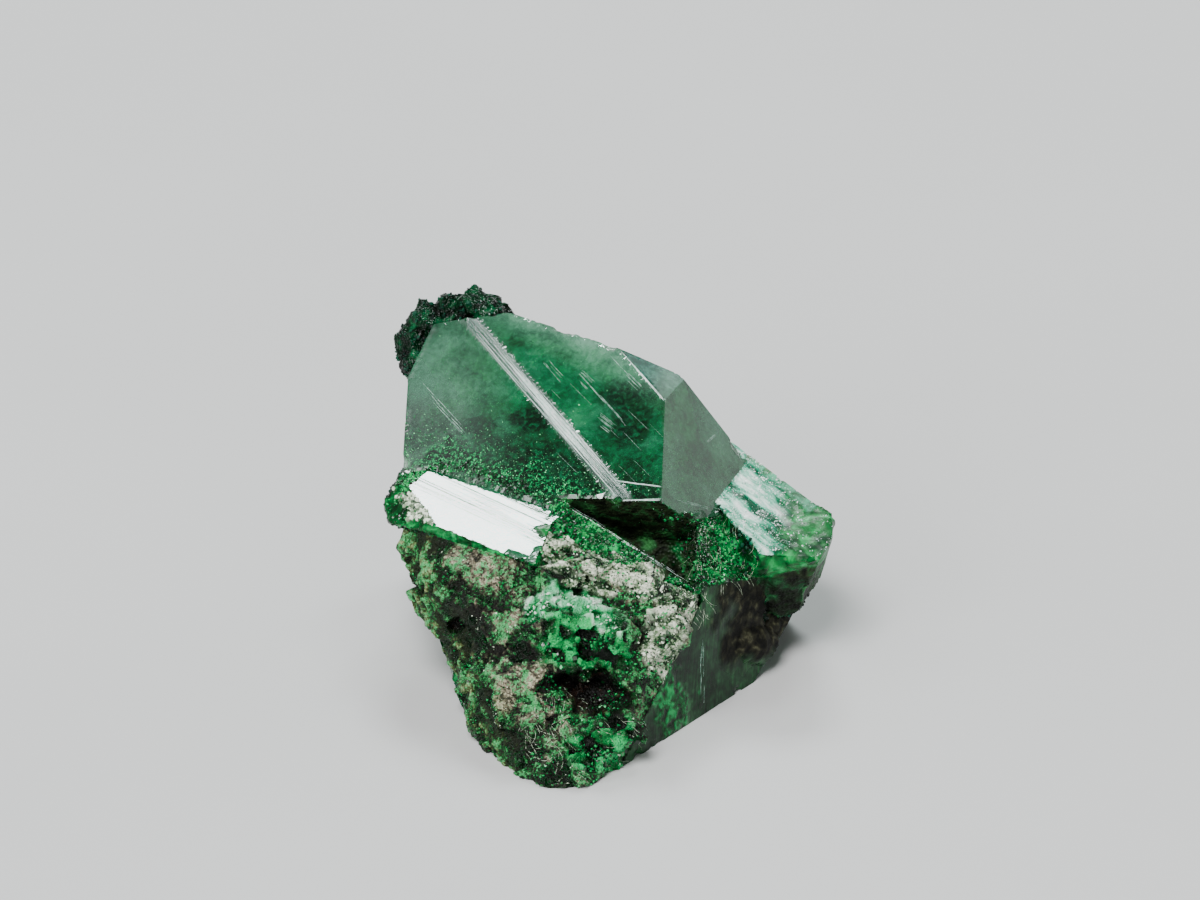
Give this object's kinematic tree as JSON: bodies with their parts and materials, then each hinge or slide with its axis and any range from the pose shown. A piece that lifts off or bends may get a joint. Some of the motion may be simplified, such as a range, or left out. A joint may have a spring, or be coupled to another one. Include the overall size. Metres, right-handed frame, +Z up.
{
  "type": "uvarovite garnet crystal on matrix",
  "caption": "Loose deep green garnet crystal with broad flat faces, smaller crystals grown onto it, and broken rock matrix filling its front base.",
  "frame": {"origin": "under the middle of the specimen, on the surface that it rests on", "axes": "+Z up from the resting face; -Y towards the side with the rock and the broad crystal face; +X to the right seen from that side"},
  "size_m": [0.009, 0.0112, 0.0062],
  "materials": {
    "garnet": "deep emerald green transparent garnet with glassy crystal faces, fine growth lines and chipped edges",
    "matrix_rock": "broken brown, olive and cream rock with green garnet grains, dull with small glints"
  },
  "bodies": {
    "root": {"garnet_crystal": "garnet", "matrix": "matrix_rock"}
  },
  "joints": []
}
